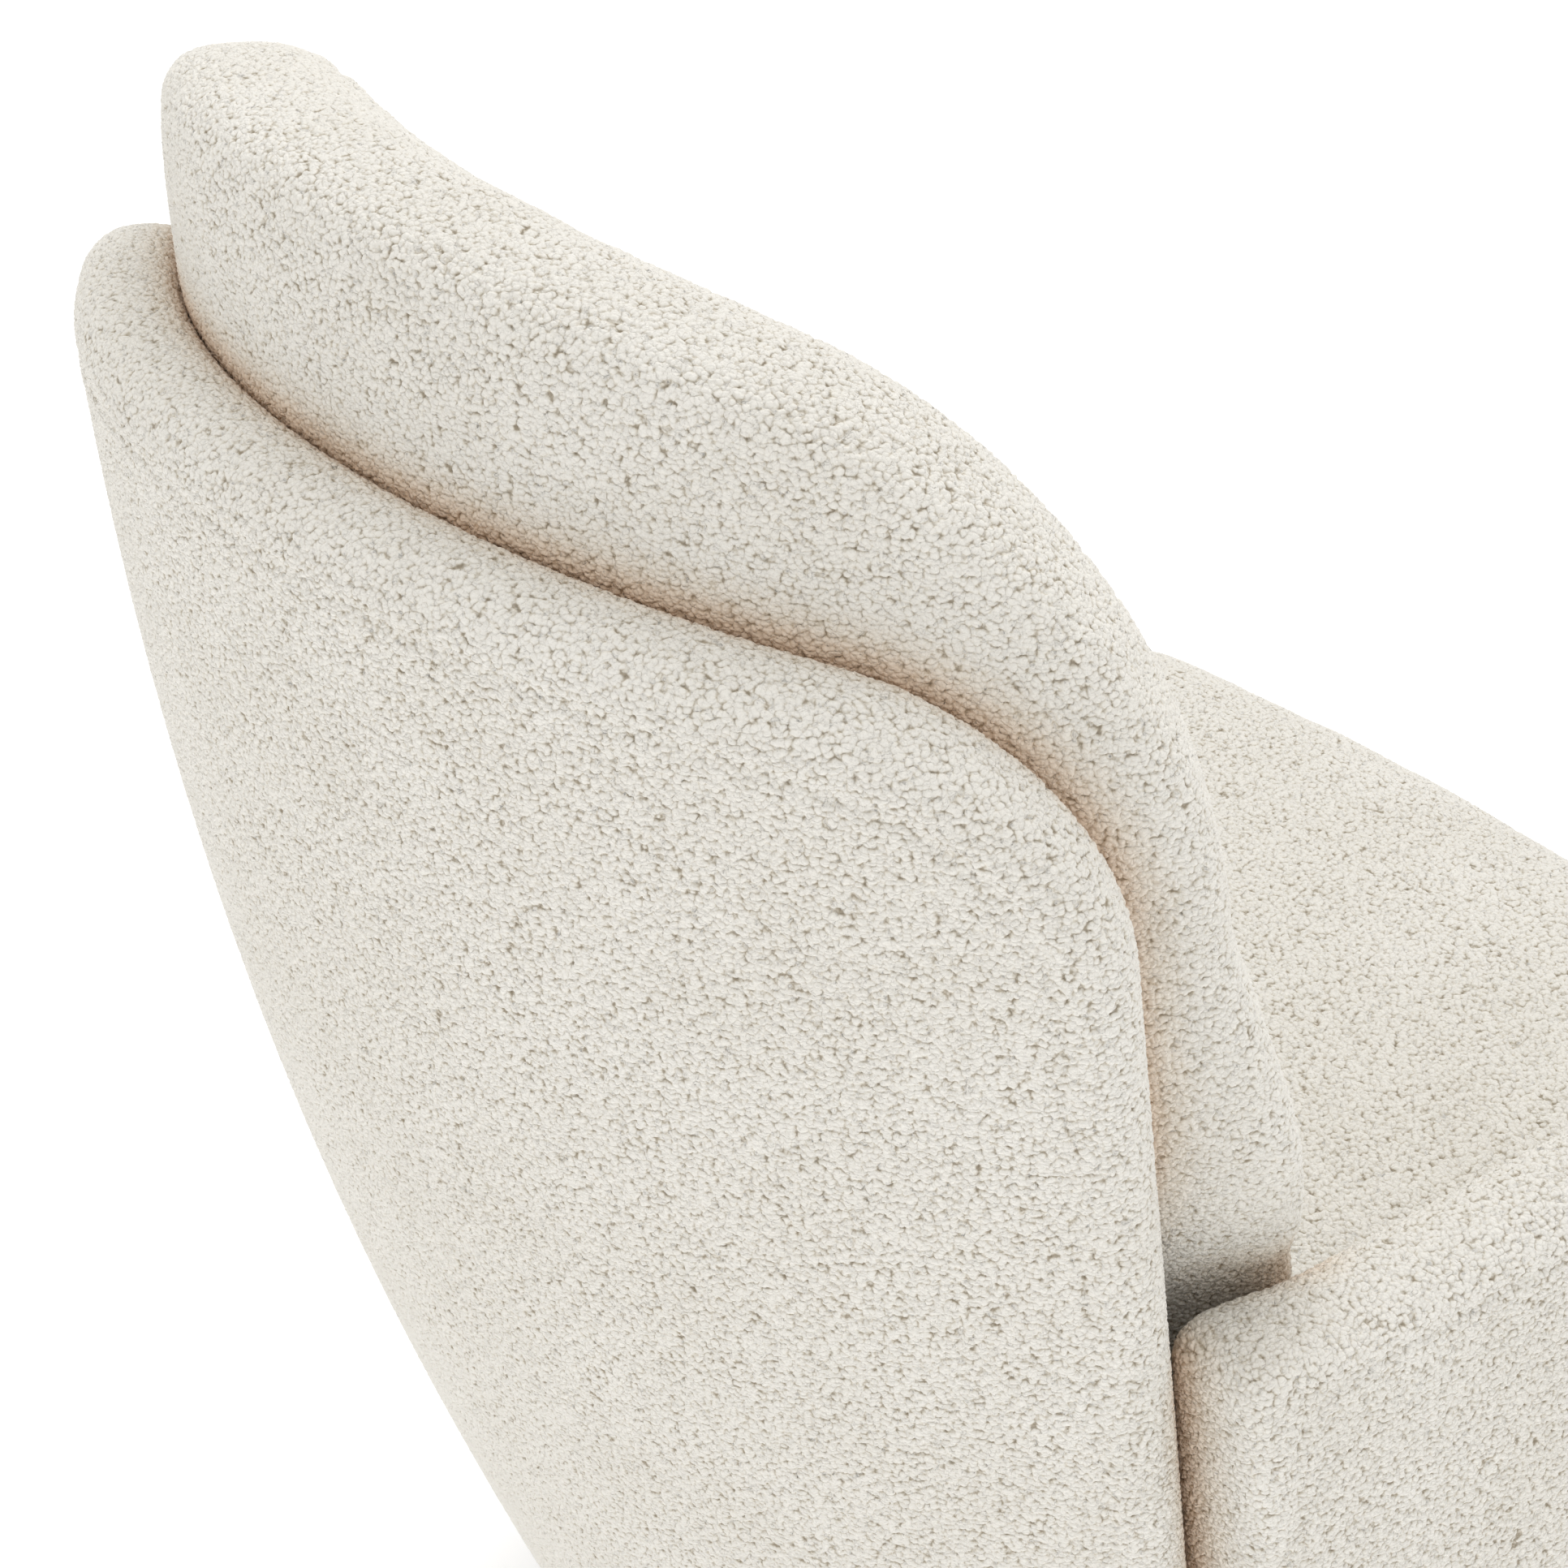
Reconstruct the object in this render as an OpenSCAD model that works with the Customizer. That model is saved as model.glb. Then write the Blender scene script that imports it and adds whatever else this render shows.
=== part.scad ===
// High-backed upholstered tub armchair on a swivel plinth.
// Millimetres, +Z up, the seat faces -Y. The origin is on the floor, under the middle of the chair.

/* [Back shell] */
// Radius of the curve that the back follows in plan
plan_radius = 405; // [385:1:430]
// Half of the shell's length, measured round that curve
shell_half = 358; // [340:1:380]
// Height of the shell's rim above the floor
shell_top = 902; // [880:1:930]
// Thickness of the shell, covers included
shell_thick = 52; // [50:1:62]
// Radius of the shell's two top corners
shell_corner = 106; // [80:1:140]
// How far the rim drops from its middle to its corners
shell_crown = 44; // [0:1:60]
// Extra half length of the shell for each mm below its corners
shell_flare = 0.04; // [0:0.01:0.08]

/* [Lean and tuck] */
// Backward lean of the back, in degrees
recline = 2.9; // [0:0.1:6]
// How far the middle of the back tucks in towards the floor
tuck_back = 206; // [160:1:225]
// How far the sides tuck in towards the floor
tuck_side = 71; // [40:1:90]

/* [Inner back] */
// Height of the inner back above the shell's rim
inner_rise = 110; // [60:1:120]
// Thickness of the inner back
inner_thick = 90; // [80:1:96]
// Half of the inner back's length round the plan curve
inner_half = 406; // [385:1:412]
// How far the inner back's top drops from its middle to its corners
inner_crown = 77; // [40:1:100]
// Radius of the inner back's two top corners
inner_corner = 197; // [160:1:225]
// Extra half length of the inner back for each mm below its corners
inner_flare = 0.30; // [0.1:0.01:0.32]

/* [Arms] */
// Height of the arms above the floor
arm_top = 550; // [530:1:570]
// Thickness of an arm
arm_thick = 62; // [60:1:76]
// How far the arm's outer face stands proud of the shell's end
arm_proud = 20; // [8:1:24]
// Where the arms' tops end at the front
arm_front_y = -302; // [-315:1:-290]
// How far the arms' fronts slope back towards the floor
arm_rake = 40; // [20:1:60]

/* [Seat] */
// Height of the seat cushion's top edge
seat_top = 439; // [425:1:442]
// Thickness of the seat cushion at its edge
seat_thick = 136; // [120:1:140]
// Where the middle of the seat cushion ends at the front
seat_front_y = -383; // [-395:1:-370]
// How far the cushion's front edge bows forwards
seat_bow = 31; // [20:1:50]

/* [Swivel base] */
// Outer radius of the plinth drum
drum_radius = 200; // [185:1:215]
// Distance of the swivel's axis from the origin, along Y
swivel_y = -75; // [-95:1:-60]
// Radius of the swivel's king pin
pin_radius = 9; // [8:0.5:11]
// Number of balls in the swivel
ball_count = 16; // [10:1:18]

/* [Hidden] */

$fn = 48;
fabric = [0.91, 0.89, 0.85];
foam = [0.95, 0.88, 0.62];
timber = [0.80, 0.65, 0.45];
steel = [0.62, 0.64, 0.66];
black = [0.10, 0.10, 0.11];

cover_skin = 2;
foam_skin = 14;
nest_gap = 0.5;
fold_gap = 1.5;

// The crease between shell and inner back passes through (0, crease_y) at the rim.
crease_y = 328;
body_bottom = 92;
shell_bottom = body_bottom;
seat_bottom = seat_top - seat_thick;
inner_bottom = seat_top + 14;
inner_top = shell_top + inner_rise;

board_thick = 18;
board_bottom = body_bottom - 1 - board_thick;
frame_x = 200;
frame_front_y = -255;
frame_back_y = 82;
rail_thick = 22;
rail_tall = 100;
rail_top = seat_bottom - 8;
post_size = 38;

glide_tall = 6;
drum_tall = 34;
plate_thick = 3;
plate_radius = 115;
ball_radius = 4;
ball_track = 75;
drum_top = glide_tall + drum_tall;
lower_plate_top = drum_top + plate_thick;
upper_plate_bottom = lower_plate_top + 2 * ball_radius;
upper_plate_top = upper_plate_bottom + plate_thick;
spacer_tall = board_bottom - upper_plate_top;
bolt_circle = 95;

// ---- Bent space: s runs round the plan curve, z is height, t is depth outwards ----

function mirrored(s, x) = s < 0 ? -x : x;

function bend(s, z, t) =
    let (turn = abs(s) / plan_radius * 180 / PI,
         drop = max(0, (shell_top - z) / shell_top),
         tuck = (tuck_back * cos(turn)^2 + tuck_side * sin(turn)^2) * drop^2,
         r = plan_radius + t - tuck)
    [mirrored(s, r * sin(turn)),
     crease_y - plan_radius + r * cos(turn) - tan(recline) * (shell_top - z),
     z];

function ease(u) = let (c = min(1, max(0, u))) c * c * (3 - 2 * c);

// Half length of the shell at height z, and the tip of its end there
function shell_reach(z) =
    shell_half + shell_flare * max(0, shell_top - shell_crown - shell_corner - z);
function shell_tip(z) = bend(shell_reach(z), z, shell_thick / 2);

// The arm follows the shell's end, so that the two stay flush down to the floor
function arm_mid_x(z) = bend(shell_reach(z), z, shell_thick)[0] + arm_proud - arm_thick / 2;
function arm_inner_x(z) = arm_mid_x(z) - arm_thick / 2;
// The shell's end is round and turns away, so its foremost line lies in front of its tip
function arm_back_y(z) =
    shell_tip(z)[1] - fold_gap
        - shell_thick / 2 * (1 - sin(shell_reach(z) / plan_radius * 180 / PI));

// ---- Maps from flat (s, z, t) space, one for each kind of padded piece ----

// Below the arms' tops the inner back's wings are squeezed in between the arms
squeeze_x = 120;
squeeze_fade = 172;
function inner_reach(z) =
    inner_half + inner_flare * max(0, inner_top - inner_crown - inner_corner - z);
function map_inner(s, z, t) =
    let (p = bend(s, z, t),
         widest = bend(inner_reach(z), z, -fold_gap)[0],
         limit = arm_inner_x(min(z, arm_top)) - 2 * fold_gap,
         squeezed = squeeze_x + (abs(p[0]) - squeeze_x) * (limit - squeeze_x)
             / (widest - squeeze_x),
         x = abs(p[0]) < squeeze_x ? abs(p[0])
             : squeezed + (abs(p[0]) - squeezed) * ease((z - arm_top + 22) / squeeze_fade))
    [mirrored(s, x), p[1], z];

// An arm's s runs from its front end to its back end
function arm_front_at(z) = arm_front_y + arm_rake * ((arm_top - z) / arm_top)^2;
function map_arm(s, z, t) =
    let (half = (arm_back_y(arm_top) - arm_front_y) / 2,
         u = (s + half) / (2 * half))
    [arm_mid_x(z) + t, arm_front_at(z) + (arm_back_y(z) - arm_front_at(z)) * u, z];

// The seat cushion's z runs forwards and its t runs up; its sides follow the arms
seat_half = arm_inner_x(seat_bottom + seat_thick / 2);
function map_seat(s, z, t) =
    let (height = seat_bottom + seat_thick / 2 + t)
    [s / seat_half * (arm_inner_x(height) - fold_gap), -z, height];

front_thick = 40;
function map_front(s, z, t) =
    let (tuck = 40 * ((seat_bottom - z) / (seat_bottom - body_bottom))^2)
    [s / seat_half * (arm_inner_x(z) - fold_gap),
     seat_front_y + 24 + front_thick / 2 - t + tuck + seat_bow * (s / seat_half)^2, z];

// ---- A padded slab: a rounded outline with a rounded edge, laid on a grid and then bent ----

function slab_outline_top(s, half, top, corner, crown) =
    let (over = max(0, abs(s) - (half - corner)))
    top - crown * (s / half)^2 - corner + sqrt(max(0, corner^2 - over^2));

function slab_depth(d, half_thick, edge) =
    half_thick - edge + sqrt(max(0, edge^2 - (edge - min(d, edge))^2));

function slab_edge_distance(s, reach, half, z, low, high, top, corner, crown) =
    let (over = abs(s) - (reach - corner),
         rise = z - (top - crown * min(1, s / half)^2 - corner),
         side = over > 0 && rise > 0 ? corner - norm([over, rise])
                                     : min(reach - abs(s), high - z))
    max(0, min(side, z - low));

// half, bottom, top: the outline.  mid: the slab's middle depth.
// edge and edge_out: the edge radius of the inner and of the outer face.
// corner and corner_far: the top corners' radius, at the low and at the high end of s.
// flare widens it below its corners, heel bows its bottom edge, puff crowns its outer face.
// skin is how deep the layer lies.  flip is set where map turns the space inside out.
module slab(map, half, bottom, top, thick, edge, corner, crown = 0, flare = 0, heel = 0,
            puff = 0, mid = 0, skin = 0, nx = 20, nz = 14, flip = false,
            edge_out = 0, corner_far = 0) {
    h = half - skin;
    t_top = top - skin;
    c_near = max(1, corner - skin);
    c_far = corner_far > 0 ? max(1, corner_far - skin) : c_near;
    e_in = max(1, edge - skin);
    e_out = max(1, (edge_out > 0 ? edge_out : edge) - skin);
    core = thick / 2 - skin;
    grid = [for (j = [0:nz]) for (i = [0:nx])
        let (u = sin(180 * i / nx - 90),
             c = u > 0 ? c_far : c_near,
             corner_z = t_top - crown - c,
             low = bottom + skin + heel * u^2,
             high = slab_outline_top(u * h, h, t_top, c, crown),
             z = low + (high - low) * (1 - cos(180 * j / nz)) / 2,
             reach = h + flare * max(0, corner_z - z),
             s = u * reach,
             d = slab_edge_distance(s, reach, h, z, low, high, t_top, c, crown),
             swell = puff * cos(90 * u) * sin(180 * j / nz))
        [s, z, max(0.6, slab_depth(d, core, e_in)), max(0.6, slab_depth(d, core, e_out)) + swell]];
    inner = [for (g = grid) map(g[0], g[1], mid - g[2])];
    outer = [for (g = grid) map(g[0], g[1], mid + g[3])];
    n = nx + 1;
    total = n * (nz + 1);
    cells = [for (j = [0:nz - 1]) for (i = [0:nx - 1]) j * n + i];
    rim = concat(
        [for (i = [0:nx - 1]) [i, i + 1]],
        [for (j = [0:nz - 1]) [j * n + nx, (j + 1) * n + nx]],
        [for (i = [nx:-1:1]) [nz * n + i, nz * n + i - 1]],
        [for (j = [nz:-1:1]) [j * n, (j - 1) * n]]);
    faces = concat(
        [for (k = cells) [k, k + n + 1, k + 1]],
        [for (k = cells) [k, k + n, k + n + 1]],
        [for (k = cells) [total + k, total + k + 1, total + k + n + 1]],
        [for (k = cells) [total + k, total + k + n + 1, total + k + n]],
        [for (r = rim) [r[0], r[1], total + r[1]]],
        [for (r = rim) [r[0], total + r[1], total + r[0]]]);
    polyhedron(
        points = concat(inner, outer),
        faces = flip ? [for (f = faces) [f[2], f[1], f[0]]] : faces,
        convexity = 6);
}

// A strip of the back frame: a bent board between two lengths, two heights and two depths
module bent_board(s0, s1, z0, z1, t0, t1, steps) {
    ring = [for (i = [0:steps])
        let (s = s0 + (s1 - s0) * i / steps)
        [bend(s, z0, t0), bend(s, z1, t0), bend(s, z1, t1), bend(s, z0, t1)]];
    last = 4 * steps;
    polyhedron(
        points = [for (r = ring) each r],
        faces = concat(
            [[0, 1, 2], [0, 2, 3]],
            [[last, last + 3, last + 2], [last, last + 2, last + 1]],
            [for (i = [0:steps - 1]) for (k = [0:3]) let (b = 4 * i, m = (k + 1) % 4)
                each [[b + k, b + 4 + k, b + 4 + m], [b + k, b + 4 + m, b + m]]]),
        convexity = 4);
}

// ---- Padded pieces ----

module shell_slab(skin) {
    slab(function (s, z, t) bend(s, z, t), shell_half, shell_bottom, shell_top,
         shell_thick, 16, shell_corner, shell_crown, shell_flare,
         mid = shell_thick / 2, skin = skin, nx = 26, nz = 16, edge_out = shell_thick / 2);
}

module inner_slab(skin) {
    slab(function (s, z, t) map_inner(s, z, t), inner_half, inner_bottom, inner_top,
         inner_thick, inner_thick / 2, inner_corner, inner_crown, inner_flare,
         mid = -fold_gap - inner_thick / 2, skin = skin, edge_out = 22);
}

module arm_slab(skin) {
    slab(function (s, z, t) map_arm(s, z, t), (arm_back_y(arm_top) - arm_front_y) / 2,
         body_bottom, arm_top, arm_thick, 26, 60, 0, skin = skin, nx = 14, nz = 10, flip = true,
         corner_far = 32);
}

module seat_slab(skin) {
    slab(function (s, z, t) map_seat(s, z, t), seat_half, -195, -seat_front_y,
         seat_thick, 34, 50, seat_bow, heel = 125, puff = 8, skin = skin, nx = 18, nz = 12);
}

module front_slab(skin) {
    slab(function (s, z, t) map_front(s, z, t), seat_half, body_bottom, seat_bottom - 2,
         front_thick, 12, 14, 0, skin = skin, nx = 12, nz = 6, flip = true);
}

module shell_cover() color(fabric) difference() {
    shell_slab(0);
    shell_slab(cover_skin);
}

module shell_foam() color(foam) difference() {
    shell_slab(cover_skin + nest_gap);
    shell_slab(foam_skin);
}

module inner_back_cover() color(fabric) difference() {
    inner_slab(0);
    inner_slab(cover_skin);
}

module inner_back_foam() color(foam) inner_slab(cover_skin + nest_gap);

module seat_cover() color(fabric) difference() {
    seat_slab(0);
    seat_slab(cover_skin);
}

module seat_foam() color(foam) seat_slab(cover_skin + nest_gap);

module front_cover() color(fabric) difference() {
    front_slab(0);
    front_slab(cover_skin);
}

module front_foam() color(foam) front_slab(cover_skin + nest_gap);

module on_side(side) {
    if (side > 0) children();
    else mirror([1, 0, 0]) children();
}

module arm_cover(side) color(fabric) on_side(side) difference() {
    arm_slab(0);
    arm_slab(cover_skin);
}

module arm_foam(side) color(foam) on_side(side) difference() {
    arm_slab(cover_skin + nest_gap);
    arm_slab(foam_skin);
}

// ---- Back frame, inside the shell ----

frame_t0 = foam_skin + 2.5;
frame_t1 = shell_thick - foam_skin - 2.5;
web_t1 = frame_t0 + 1.5;
board_t0 = web_t1 + nest_gap;
post_s0 = shell_half - 75;
post_s1 = post_s0 + 38;
post_top = shell_top - 150;

module back_post(side) color(timber)
    for (k = [0:7])
        let (z0 = body_bottom + foam_skin + 8, step = (post_top - z0) / 8)
        bent_board(side * post_s0, side * post_s1, z0 + k * step, z0 + (k + 1) * step,
                   board_t0, frame_t1, 1);

module back_rail_at(z0, z1) color(timber)
    bent_board(-post_s0 + nest_gap, post_s0 - nest_gap, z0, z1, board_t0, frame_t1, 14);

module back_webbing() color(black)
    for (s = [-180, -60, 60, 180])
        for (k = [0:6])
            let (z0 = 330, step = (post_top - 10 - z0) / 7)
            bent_board(s - 25, s + 25, z0 + k * step, z0 + (k + 1) * step, frame_t0, web_t1, 1);

// ---- Arm frames ----

arm_panel_z1 = arm_top - 62;
panel_thick = 15;

module arm_panel(side) color(timber) on_side(side)
    for (k = [0:3])
        let (z0 = body_bottom + foam_skin + 10, step = (arm_panel_z1 - z0) / 4,
             za = z0 + k * step, zb = za + step)
        hull() {
            translate([arm_mid_x(za) - panel_thick / 2, arm_front_at(za) + 30, za])
                cube([panel_thick, 300, 0.1]);
            translate([arm_mid_x(zb) - panel_thick / 2, arm_front_at(zb) + 30, zb - 0.1])
                cube([panel_thick, 300, 0.1]);
        }

module arm_rail(side) color(timber) on_side(side)
    translate([arm_mid_x(arm_top - 50) - 12, arm_front_y + 40, arm_panel_z1 + 0.5])
        cube([24, 370, 24]);

// ---- Seat frame ----

module base_outline(inset) {
    hull() for (side = [-1, 1]) {
        translate([side * 165, -222]) circle(r = 70 - inset, $fn = 64);
        translate([side * 138, 10]) circle(r = 90 - inset, $fn = 64);
    }
}

module base_board() color(timber) difference() {
    translate([0, 0, board_bottom]) linear_extrude(board_thick) base_outline(0);
    for (a = [45:90:315])
        translate([bolt_circle * cos(a), swivel_y + bolt_circle * sin(a), board_bottom - 1])
            cylinder(r = 4.2, h = board_thick + 2);
}

module corner_posts() color(timber)
    for (x = [-1, 1], y = [frame_front_y, frame_back_y - post_size])
        translate([x > 0 ? frame_x - post_size : -frame_x, y, body_bottom - 0.9])
            cube([post_size, post_size, rail_top - rail_tall - body_bottom + 0.8]);

module long_rail(y) color(timber) difference() {
    translate([-frame_x, y, rail_top - rail_tall]) cube([2 * frame_x, rail_thick, rail_tall]);
    for (x = [-1, 1], z = [25, 75])
        translate([x * (frame_x - rail_thick / 2), y - 1, rail_top - rail_tall + z])
            rotate([-90, 0, 0]) cylinder(r = 2.6, h = rail_thick + 2);
}

module side_rail(side) color(timber)
    translate([side > 0 ? frame_x - rail_thick : -frame_x,
               frame_front_y + rail_thick + 0.1, rail_top - rail_tall])
        cube([rail_thick, frame_back_y - frame_front_y - 2 * rail_thick - 0.2, rail_tall]);

module corner_blocks() color(timber)
    for (side = [-1, 1], end = [0, 1])
        translate([side * (frame_x - rail_thick - 0.2),
                   end ? frame_back_y - rail_thick - 0.2 : frame_front_y + rail_thick + 0.2,
                   rail_top - 70])
            linear_extrude(60)
                polygon([[0, 0], [-side * 55, 0], [0, end ? -55 : 55]]);

module frame_screws() color(steel)
    for (x = [-1, 1], z = [25, 75], end = [0, 1])
        translate([x * (frame_x - rail_thick / 2), end ? frame_back_y : frame_front_y,
                   rail_top - rail_tall + z])
            rotate([end ? 90 : -90, 0, 0]) {
                translate([0, 0, -1]) cylinder(r = 2.5, h = rail_thick + 1);
                translate([0, 0, -2.5]) cylinder(r = 5, h = 2.5);
            }

// ---- Seat suspension ----

spring_wire = 1.8;
spring_z = rail_top + spring_wire + 1.2;
spring_xs = [-135, -45, 45, 135];
loop_pitch = 22;
loop_half = 18;
spring_loops = 14;
spring_y0 = frame_front_y + rail_thick / 2 + 2;

// One sinuous spring: straight bars joined by half rings, left and right in turn
module sinuous_spring() {
    for (k = [0:spring_loops])
        translate([-loop_half, k * loop_pitch, 0])
            rotate([0, 90, 0]) cylinder(r = spring_wire, h = 2 * loop_half, $fn = 16);
    for (k = [0:spring_loops - 1])
        translate([k % 2 == 0 ? loop_half : -loop_half, (k + 0.5) * loop_pitch, 0])
            rotate([0, 0, k % 2 == 0 ? -90 : 90])
                rotate_extrude(angle = 180, $fn = 32)
                    translate([loop_pitch / 2, 0]) circle(r = spring_wire, $fn = 16);
}

module seat_springs() color(steel)
    for (x = spring_xs)
        translate([x, spring_y0, spring_z]) sinuous_spring();

module spring_clips() color(steel)
    for (x = spring_xs, end = [0, spring_loops])
        translate([x - 7, spring_y0 + end * loop_pitch - 5.5, rail_top]) difference() {
            cube([14, 11, 6.6]);
            translate([-1, 2.8, 1]) cube([16, 5.4, 4.6]);
        }

module spring_ties() color(black)
    for (k = [4.5, 10.5])
        translate([-160, spring_y0 + k * loop_pitch - 3, spring_z + spring_wire + 0.2])
            cube([320, 6, 1.2]);

module deck_cloth() color([0.30, 0.29, 0.28])
    translate([-frame_x, frame_front_y, seat_bottom - 1.4])
        cube([2 * frame_x, frame_back_y - frame_front_y, 1]);

module dust_cover() color(black) difference() {
    translate([0, 0, board_bottom - 1.2]) linear_extrude(1) base_outline(6);
    translate([0, swivel_y, board_bottom - 2]) cylinder(r = plate_radius + 6, h = 3);
}

// ---- Swivel ----

module at_swivel(z) {
    translate([0, swivel_y, z]) children();
}

module round_bolts(z, radius, length, head_radius, head_tall) {
    for (a = [45:90:315])
        at_swivel(z) translate([bolt_circle * cos(a), bolt_circle * sin(a), 0]) {
            cylinder(r = radius, h = length);
            translate([0, 0, length - 0.1]) cylinder(r = head_radius, h = head_tall, $fn = 6);
        }
}

module base_glides() color(black)
    for (a = [30:60:330])
        at_swivel(0) translate([(drum_radius - 14) * cos(a), (drum_radius - 14) * sin(a), 0])
            cylinder(r = 10, h = glide_tall);

module base_drum() color(black) difference() {
    at_swivel(glide_tall) cylinder(r = drum_radius, h = drum_tall, $fn = 96);
    at_swivel(glide_tall - 1) cylinder(r = drum_radius - 26, h = drum_tall - 15, $fn = 96);
    for (a = [45:90:315])
        at_swivel(0) translate([bolt_circle * cos(a), bolt_circle * sin(a), 0])
            cylinder(r = 3, h = 60);
}

module swivel_plate(z) color(steel) difference() {
    at_swivel(z) cylinder(r = plate_radius, h = plate_thick, $fn = 96);
    at_swivel(z - 1) cylinder(r = pin_radius + 0.05, h = plate_thick + 2);
    for (a = [45:90:315])
        at_swivel(z - 1) translate([bolt_circle * cos(a), bolt_circle * sin(a), 0])
            cylinder(r = z > drum_top + 1 ? 4.2 : 3, h = plate_thick + 2);
}

module swivel_lower_screws() color(steel)
    for (a = [45:90:315])
        at_swivel(drum_top - 14) translate([bolt_circle * cos(a), bolt_circle * sin(a), 0]) {
            cylinder(r = 2.9, h = 14 + plate_thick);
            translate([0, 0, 14 + plate_thick]) cylinder(r = 6, h = 2.4);
        }

module king_pin() color(steel)
    at_swivel(drum_top) cylinder(r = pin_radius, h = upper_plate_top - drum_top + 5);

module pin_retainer() color(steel) difference() {
    at_swivel(upper_plate_top + 0.3) cylinder(r = pin_radius + 8, h = 3);
    at_swivel(upper_plate_top - 1) cylinder(r = pin_radius, h = 8);
}

module ball_cage() color(black) difference() {
    at_swivel(lower_plate_top + ball_radius - 1) cylinder(r = ball_track + 8, h = 2, $fn = 96);
    at_swivel(lower_plate_top) cylinder(r = ball_track - 8, h = 8, $fn = 96);
    for (k = [1:ball_count])
        at_swivel(lower_plate_top) rotate([0, 0, 360 * k / ball_count])
            translate([ball_track, 0, 0]) cylinder(r = ball_radius + 0.1, h = 8);
}

module bearing_balls() color(steel)
    for (k = [1:ball_count])
        at_swivel(lower_plate_top + ball_radius) rotate([0, 0, 360 * k / ball_count])
            translate([ball_track, 0, 0]) sphere(r = ball_radius);

// Spacers, bolts and washers that hang the swivel's upper plate under the base board
module swivel_upper_bolts() color(steel)
    for (a = [45:90:315])
        at_swivel(upper_plate_bottom) translate([bolt_circle * cos(a), bolt_circle * sin(a), 0]) {
            cylinder(r = 4, h = body_bottom + 2 - upper_plate_bottom);
            translate([0, 0, plate_thick]) cylinder(r = 9, h = spacer_tall);
            translate([0, 0, body_bottom - 1 - upper_plate_bottom]) cylinder(r = 9, h = 6);
        }

base_glides();
base_drum();
swivel_plate(drum_top);  // swivel_lower_plate
swivel_lower_screws();
king_pin();
pin_retainer();
ball_cage();
bearing_balls();
swivel_plate(upper_plate_bottom);  // swivel_upper_plate
swivel_upper_bolts();
dust_cover();
base_board();
corner_posts();
long_rail(frame_front_y);  // front_rail
long_rail(frame_back_y - rail_thick);  // back_rail
side_rail(1);  // side_rail_left
side_rail(-1);  // side_rail_right
corner_blocks();
frame_screws();
spring_clips();
seat_springs();
spring_ties();
deck_cloth();
seat_foam();
seat_cover();
front_foam();
front_cover();
back_post(1);  // back_post_left
back_post(-1);  // back_post_right
back_rail_at(post_top - 70, post_top);  // back_top_rail
back_rail_at(500, 560);  // back_middle_rail
back_rail_at(250, 320);  // back_lower_rail
back_webbing();
shell_foam();
shell_cover();
inner_back_foam();
inner_back_cover();
arm_panel(1);  // arm_panel_left
arm_panel(-1);  // arm_panel_right
arm_rail(1);  // arm_rail_left
arm_rail(-1);  // arm_rail_right
arm_foam(1);  // arm_foam_left
arm_foam(-1);  // arm_foam_right
arm_cover(1);  // arm_cover_left
arm_cover(-1);  // arm_cover_right
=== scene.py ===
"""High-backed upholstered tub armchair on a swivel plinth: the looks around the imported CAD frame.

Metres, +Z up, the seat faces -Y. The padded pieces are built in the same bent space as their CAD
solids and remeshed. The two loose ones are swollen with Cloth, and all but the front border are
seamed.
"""

import math

import bpy
import numpy as np
from mathutils import Matrix, Vector, kdtree
from mathutils.bvhtree import BVHTree


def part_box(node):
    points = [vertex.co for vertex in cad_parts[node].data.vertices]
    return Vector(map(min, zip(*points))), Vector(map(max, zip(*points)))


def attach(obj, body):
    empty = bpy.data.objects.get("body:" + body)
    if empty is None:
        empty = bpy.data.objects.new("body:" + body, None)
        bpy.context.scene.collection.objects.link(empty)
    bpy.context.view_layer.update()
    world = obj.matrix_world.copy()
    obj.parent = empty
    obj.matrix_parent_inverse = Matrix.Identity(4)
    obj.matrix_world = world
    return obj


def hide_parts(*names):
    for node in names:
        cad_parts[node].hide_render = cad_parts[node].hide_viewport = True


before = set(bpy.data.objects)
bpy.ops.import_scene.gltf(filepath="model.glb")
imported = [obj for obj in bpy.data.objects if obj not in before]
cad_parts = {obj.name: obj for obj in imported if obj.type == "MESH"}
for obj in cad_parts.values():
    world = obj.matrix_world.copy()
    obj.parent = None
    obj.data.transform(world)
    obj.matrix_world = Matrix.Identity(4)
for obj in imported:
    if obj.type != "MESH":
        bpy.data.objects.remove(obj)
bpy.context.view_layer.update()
scene = bpy.context.scene

# ---- The chair's own sizes, as in the CAD part ----
PLAN_RADIUS = 0.405
SHELL_HALF = 0.358
SHELL_TOP = 0.902
SHELL_THICK = 0.052
SHELL_CORNER = 0.106
SHELL_CROWN = 0.044
SHELL_FLARE = 0.04
RECLINE = math.radians(2.9)
TUCK_BACK = 0.206
TUCK_SIDE = 0.071
INNER_TOP = SHELL_TOP + 0.110
INNER_THICK = 0.090
INNER_HALF = 0.406
INNER_CROWN = 0.077
INNER_CORNER = 0.197
INNER_FLARE = 0.30
ARM_TOP = 0.550
ARM_THICK = 0.062
ARM_PROUD = 0.020
ARM_FRONT_Y = -0.302
ARM_RAKE = 0.040
SEAT_TOP = 0.439
SEAT_THICK = 0.136
SEAT_FRONT_Y = -0.383
SEAT_BOW = 0.031
CREASE_Y = 0.328
BODY_BOTTOM = 0.092
FOLD_GAP = 0.0015
SQUEEZE_X = 0.120
SQUEEZE_FADE = 0.172
SQUEEZE_START = 0.060
ARM_ROLL = 0.014
ARM_SPILL = 4
SEAT_BOTTOM = SEAT_TOP - SEAT_THICK
INNER_BOTTOM = SEAT_TOP + 0.014
SEAT_REAR = -0.195
SWIVEL_Y = -0.075
BODY = "chair"

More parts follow.
